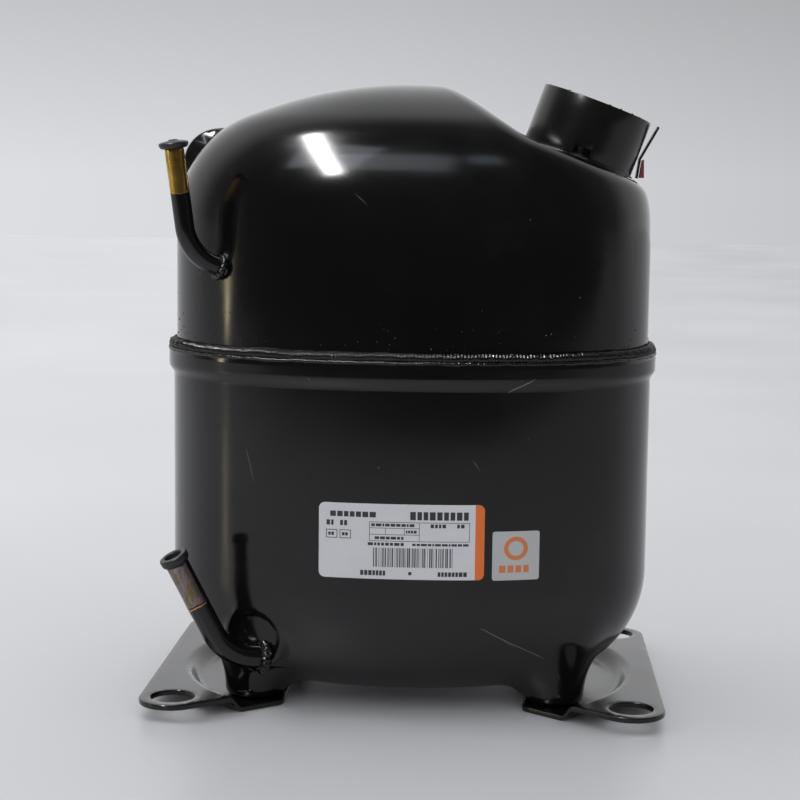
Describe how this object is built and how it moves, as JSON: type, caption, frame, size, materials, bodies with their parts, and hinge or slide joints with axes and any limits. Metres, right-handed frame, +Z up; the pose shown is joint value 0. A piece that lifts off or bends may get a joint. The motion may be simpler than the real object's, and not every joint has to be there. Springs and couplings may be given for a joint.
{
  "type": "hermetic reciprocating compressor",
  "caption": "Hermetic reciprocating compressor: welded oval steel shell on two base plates, three tube stubs, tilted terminal box, with a spring-hung motor and one-cylinder pump inside.",
  "frame": {"origin": "centre of the four mounting holes, on the plane that the base plates rest on", "axes": "+Z up, -Y towards the label side, +X towards the terminal box"},
  "size_m": [0.2332, 0.164, 0.2823],
  "materials": {
    "shell_enamel": "gloss black enamel",
    "bead_enamel": "gloss black enamel over rough weld metal",
    "fence_enamel": "satin black enamel",
    "plate_enamel": "gloss black enamel, thin, grey in the light",
    "terminal_steel": "plated steel",
    "seal_glass": "fused sealing glass",
    "pin_steel": "bright pin",
    "clip_steel": "dark spring steel",
    "red_sleeve": "matt red rubber",
    "process_brass": "bare at the end, black enamel below",
    "discharge_copper": "heat tinted copper at the end, black enamel below",
    "suction_copper": "copper",
    "plug_rubber": "smooth black rubber",
    "label_film": "printed white film",
    "sticker_film": "printed grey film",
    "bare_steel": "machined steel",
    "spring_steel": "oiled spring steel",
    "grey_iron": "as cast, machined faces",
    "head_aluminium": "die cast",
    "piston_iron": "ground",
    "gasket_sheet": "fibre gasket",
    "bolt_steel": "blacked",
    "muffler_plastic": "moulded",
    "muffler_steel": "drawn steel",
    "lamination": "stacked sheet",
    "winding_copper": "varnished copper wire",
    "washer_bronze": "bronze",
    "loop_copper": "copper",
    "lead_red": "sleeved wire"
  },
  "bodies": {
    "shell": {"lower_shell": "shell_enamel", "upper_shell": "shell_enamel", "weld_bead": "bead_enamel", "base_plate_left": "plate_enamel", "base_plate_right": "plate_enamel", "terminal_fence": "fence_enamel", "terminal_body": "terminal_steel", "terminal_glass": "seal_glass", "terminal_pins": "pin_steel", "process_tube": "process_brass", "discharge_tube": "discharge_copper", "suction_tube": "suction_copper", "nameplate": "label_film", "refrigerant_sticker": "sticker_film", "spring_studs": "bare_steel", "cluster_plug": "muffler_plastic"},
    "pump": {"crankcase": "grey_iron", "cylinder_head": "head_aluminium", "head_gasket": "gasket_sheet", "valve_plate": "bare_steel", "head_bolts": "bolt_steel", "suction_muffler": "muffler_plastic", "discharge_muffler": "muffler_steel", "stator_core": "lamination", "stator_winding": "winding_copper", "stator_bolts": "bolt_steel", "thrust_washer": "washer_bronze", "suspension_springs": "spring_steel", "shock_loop": "loop_copper", "lead_harness": "lead_red"},
    "crank": {"crankshaft": "bare_steel", "counterweight": "grey_iron", "rotor_core": "lamination", "rotor_end_rings": "head_aluminium", "oil_pickup": "bare_steel"},
    "rod": {"connecting_rod": "head_aluminium", "wrist_pin": "bare_steel"},
    "gallery_plug": {"gallery_plug": "washer_bronze"},
    "piston": {"piston": "piston_iron"},
    "suction_reed": {"suction_reed": "spring_steel"},
    "discharge_reed": {"discharge_reed": "spring_steel"},
    "process_plug": {"process_plug": "plug_rubber"},
    "discharge_plug": {"discharge_plug": "plug_rubber"},
    "suction_plug": {"suction_plug": "plug_rubber"},
    "cover_clip": {"cover_clip": "clip_steel", "clip_sleeve": "red_sleeve"}
  },
  "joints": [
    {"name": "pump_float", "type": "slide", "parent": "shell", "child": "pump", "axis": [0, 0, 1], "range_m": [-0.003, 0.003], "stiffness_N_per_m": 36000, "springref_m": 0.00308, "deforming": ["suspension_springs", "shock_loop", "lead_harness"]},
    {"name": "crank_turn", "type": "hinge", "parent": "pump", "child": "crank", "pos_m": [-0.018, 0, 0.1], "axis": [0, 0, 1], "continuous": true},
    {"name": "rod_big_end", "type": "hinge", "parent": "crank", "child": "rod", "pos_m": [-0.00725, 0, 0.052], "axis": [0, 0, 1], "continuous": true},
    {"name": "gallery_plug_turn", "type": "hinge", "parent": "crank", "child": "gallery_plug", "pos_m": [-0.01263, 0, 0.04], "axis": [0, 0, 1], "continuous": true},
    {"name": "piston_guide", "type": "hinge", "parent": "gallery_plug", "child": "piston", "pos_m": [-0.00725, 0, 0.052], "axis": [0, 0, 1], "continuous": true},
    {"name": "suction_reed_flex", "type": "hinge", "parent": "pump", "child": "suction_reed", "pos_m": [0.05495, 0, 0.033], "axis": [0, -1, 0], "range_deg": [0, 3], "stiffness_Nm_per_rad": 0.05},
    {"name": "discharge_reed_flex", "type": "hinge", "parent": "pump", "child": "discharge_reed", "pos_m": [0.06035, 0, 0.071], "axis": [0, -1, 0], "range_deg": [0, 8], "stiffness_Nm_per_rad": 0.05},
    {"name": "process_plug_pull", "type": "slide", "parent": "shell", "child": "process_plug", "axis": [-0.1205, -0.0696, 0.9903], "range_m": [0, 0.05]},
    {"name": "discharge_plug_pull", "type": "slide", "parent": "shell", "child": "discharge_plug", "axis": [-0.4115, -0.1919, 0.891], "range_m": [0, 0.05]},
    {"name": "suction_plug_pull", "type": "slide", "parent": "shell", "child": "suction_plug", "axis": [-0.2079, 0.9781, 0], "range_m": [0, 0.05]},
    {"name": "clip_flex", "type": "hinge", "parent": "shell", "child": "cover_clip", "pos_m": [0.1024, 0, 0.2399], "axis": [0, 1, 0], "range_deg": [-3, 20], "stiffness_Nm_per_rad": 0.4}
  ],
  "couplings": [
    {"joint": "rod_big_end", "follows": "crank_turn", "ratio": -1},
    {"joint": "gallery_plug_turn", "follows": "crank_turn", "ratio": -2},
    {"joint": "piston_guide", "follows": "crank_turn", "ratio": 1}
  ]
}
